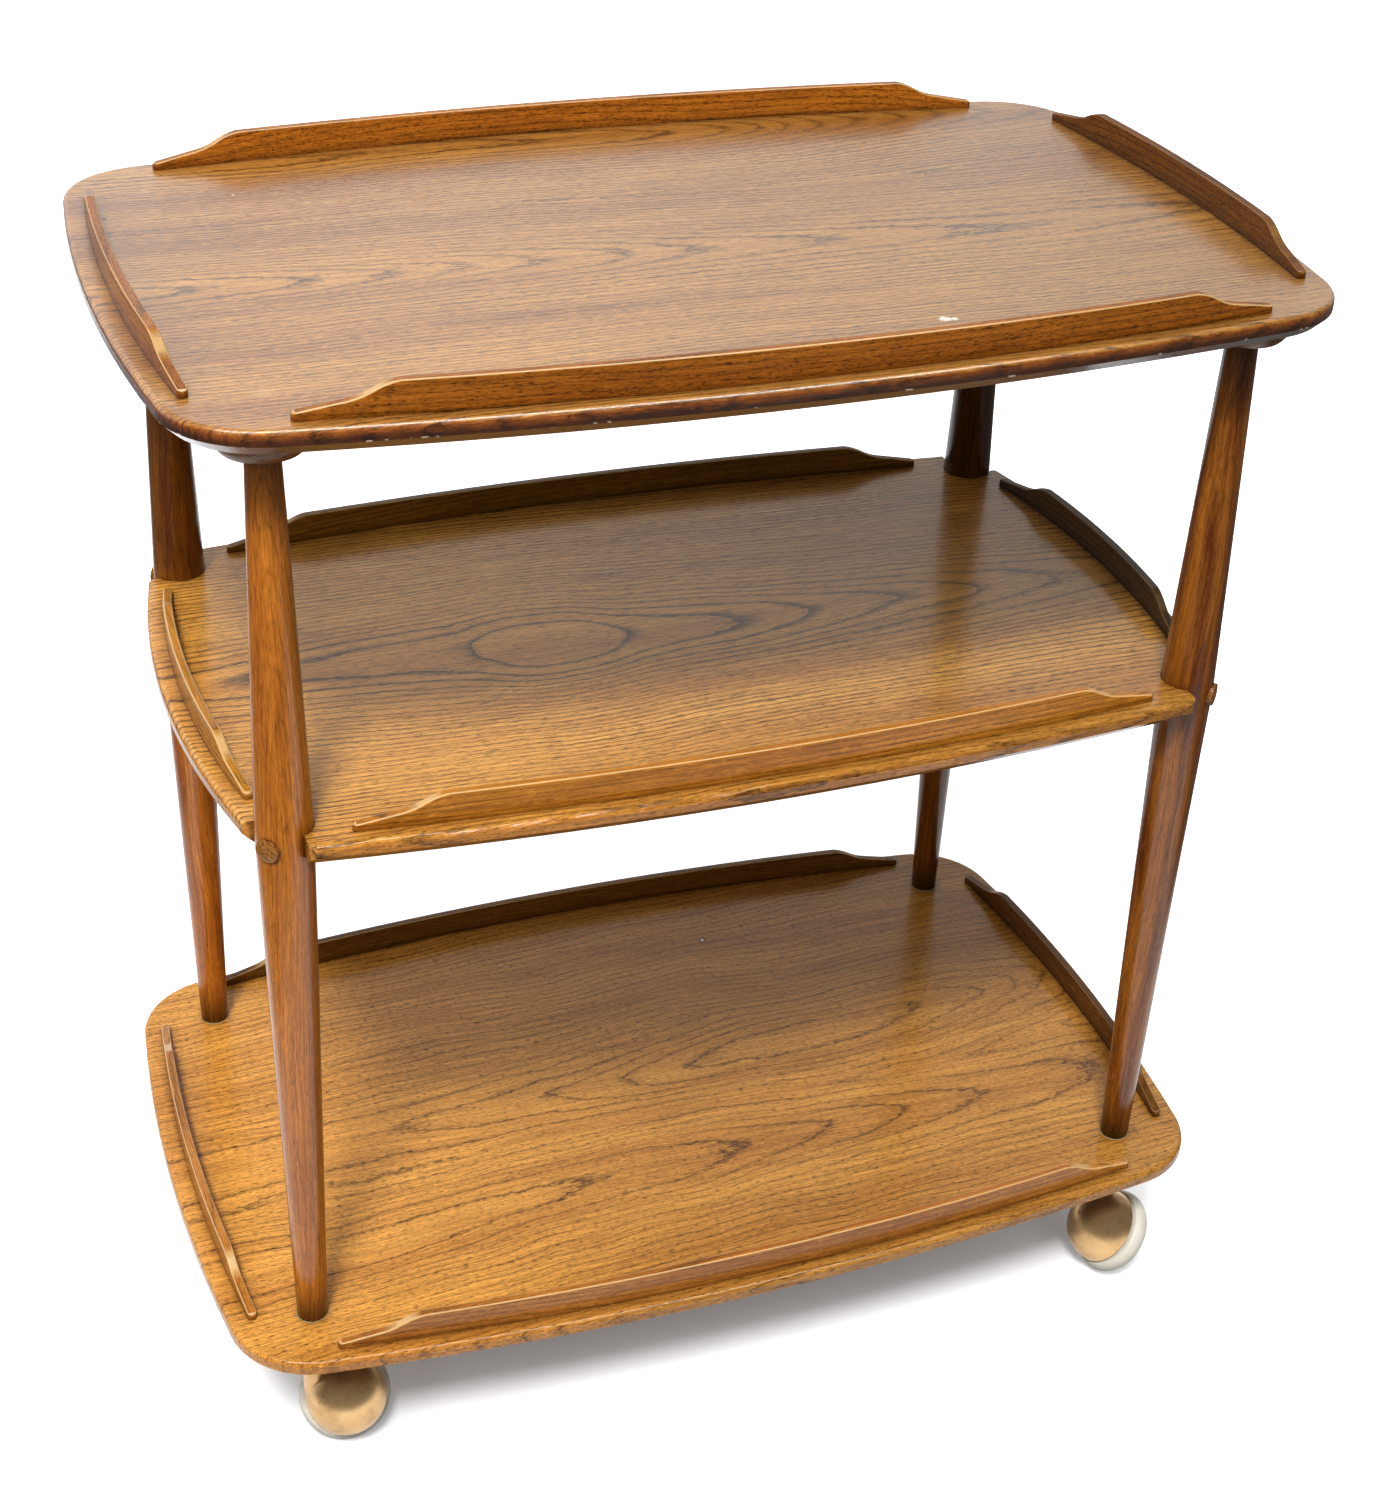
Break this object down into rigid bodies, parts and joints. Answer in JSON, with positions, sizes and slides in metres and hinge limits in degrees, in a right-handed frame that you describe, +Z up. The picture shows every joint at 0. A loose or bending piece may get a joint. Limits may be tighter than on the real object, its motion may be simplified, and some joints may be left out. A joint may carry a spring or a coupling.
{
  "type": "serving trolley",
  "caption": "Serving trolley in lacquered elm: bowed trays with low gallery rails, turned tapered legs and swivelling ball casters.",
  "frame": {"origin": "on the floor, below the centre of the trays", "axes": "+Z up, X along the length of the trays, +Y from the front long side to the back one"},
  "size_m": [0.7108, 0.46, 0.763],
  "materials": {
    "top_tray_elm": "satin gloss lacquer over reddish elm, grain along the length",
    "middle_tray_elm": "satin gloss lacquer over golden, stripy elm",
    "bottom_tray_elm": "satin gloss lacquer over orange-brown elm",
    "rail_elm": "satin gloss lacquer over straight-grained elm",
    "leg_elm": "satin gloss lacquer over turned wood, grain along the leg",
    "boss_elm": "satin gloss lacquer over turned wood",
    "bronze": "glossy light bronze enamel, lightly scratched",
    "steel": "dull plated steel",
    "cream_plastic": "cream moulded wheel centre",
    "cream_tyre": "smooth cream tread"
  },
  "bodies": {
    "root": {"top_tray": "top_tray_elm", "top_back_rail": "rail_elm", "top_front_rail": "rail_elm", "top_right_rail": "rail_elm", "top_left_rail": "rail_elm", "middle_tray": "middle_tray_elm", "middle_back_rail": "rail_elm", "middle_front_rail": "rail_elm", "middle_right_rail": "rail_elm", "middle_left_rail": "rail_elm", "bottom_tray": "bottom_tray_elm", "bottom_back_rail": "rail_elm", "bottom_front_rail": "rail_elm", "bottom_right_rail": "rail_elm", "bottom_left_rail": "rail_elm", "front_left_leg": "leg_elm", "front_left_screw_cover": "boss_elm", "front_left_top_boss": "boss_elm", "front_left_bottom_boss": "boss_elm", "front_left_caster_socket": "steel", "front_right_leg": "leg_elm", "front_right_screw_cover": "boss_elm", "front_right_top_boss": "boss_elm", "front_right_bottom_boss": "boss_elm", "front_right_caster_socket": "steel", "back_left_leg": "leg_elm", "back_left_screw_cover": "boss_elm", "back_left_top_boss": "boss_elm", "back_left_bottom_boss": "boss_elm", "back_left_caster_socket": "steel", "back_right_leg": "leg_elm", "back_right_screw_cover": "boss_elm", "back_right_top_boss": "boss_elm", "back_right_bottom_boss": "boss_elm", "back_right_caster_socket": "steel", "middle_tray_screws": "steel"},
    "front_left_swivel": {"front_left_caster_stem": "steel", "front_left_caster_hood": "bronze", "front_left_caster_axle": "steel"},
    "front_left_roller": {"front_left_caster_wheel": "cream_plastic", "front_left_caster_tyre": "cream_tyre"},
    "front_right_swivel": {"front_right_caster_stem": "steel", "front_right_caster_hood": "bronze", "front_right_caster_axle": "steel"},
    "front_right_roller": {"front_right_caster_wheel": "cream_plastic", "front_right_caster_tyre": "cream_tyre"},
    "back_left_swivel": {"back_left_caster_stem": "steel", "back_left_caster_hood": "bronze", "back_left_caster_axle": "steel"},
    "back_left_roller": {"back_left_caster_wheel": "cream_plastic", "back_left_caster_tyre": "cream_tyre"},
    "back_right_swivel": {"back_right_caster_stem": "steel", "back_right_caster_hood": "bronze", "back_right_caster_axle": "steel"},
    "back_right_roller": {"back_right_caster_wheel": "cream_plastic", "back_right_caster_tyre": "cream_tyre"}
  },
  "joints": [
    {"name": "front_left_swivel_turn", "type": "hinge", "parent": "root", "child": "front_left_swivel", "pos_m": [-0.2925, -0.163, 0.06], "axis": [0, 0, 1], "continuous": true},
    {"name": "front_left_wheel_spin", "type": "hinge", "parent": "front_left_swivel", "child": "front_left_roller", "pos_m": [-0.27389, -0.1621, 0.02594], "axis": [-0.055, -0.7861, 0.6157], "continuous": true},
    {"name": "front_right_swivel_turn", "type": "hinge", "parent": "root", "child": "front_right_swivel", "pos_m": [0.2925, -0.163, 0.06], "axis": [0, 0, 1], "continuous": true},
    {"name": "front_right_wheel_spin", "type": "hinge", "parent": "front_right_swivel", "child": "front_right_roller", "pos_m": [0.2921, -0.18163, 0.02594], "axis": [-0.7803, 0.1097, 0.6157], "continuous": true},
    {"name": "back_left_swivel_turn", "type": "hinge", "parent": "root", "child": "back_left_swivel", "pos_m": [-0.2925, 0.163, 0.06], "axis": [0, 0, 1], "continuous": true},
    {"name": "back_left_wheel_spin", "type": "hinge", "parent": "back_left_swivel", "child": "back_left_roller", "pos_m": [-0.28135, 0.14808, 0.02594], "axis": [-0.6824, -0.394, 0.6157], "continuous": true},
    {"name": "back_right_swivel_turn", "type": "hinge", "parent": "root", "child": "back_right_swivel", "pos_m": [0.2925, 0.163, 0.06], "axis": [0, 0, 1], "continuous": true},
    {"name": "back_right_wheel_spin", "type": "hinge", "parent": "back_right_swivel", "child": "back_right_roller", "pos_m": [0.31094, 0.16034, 0.02594], "axis": [-0.204, -0.7612, 0.6157], "continuous": true}
  ]
}
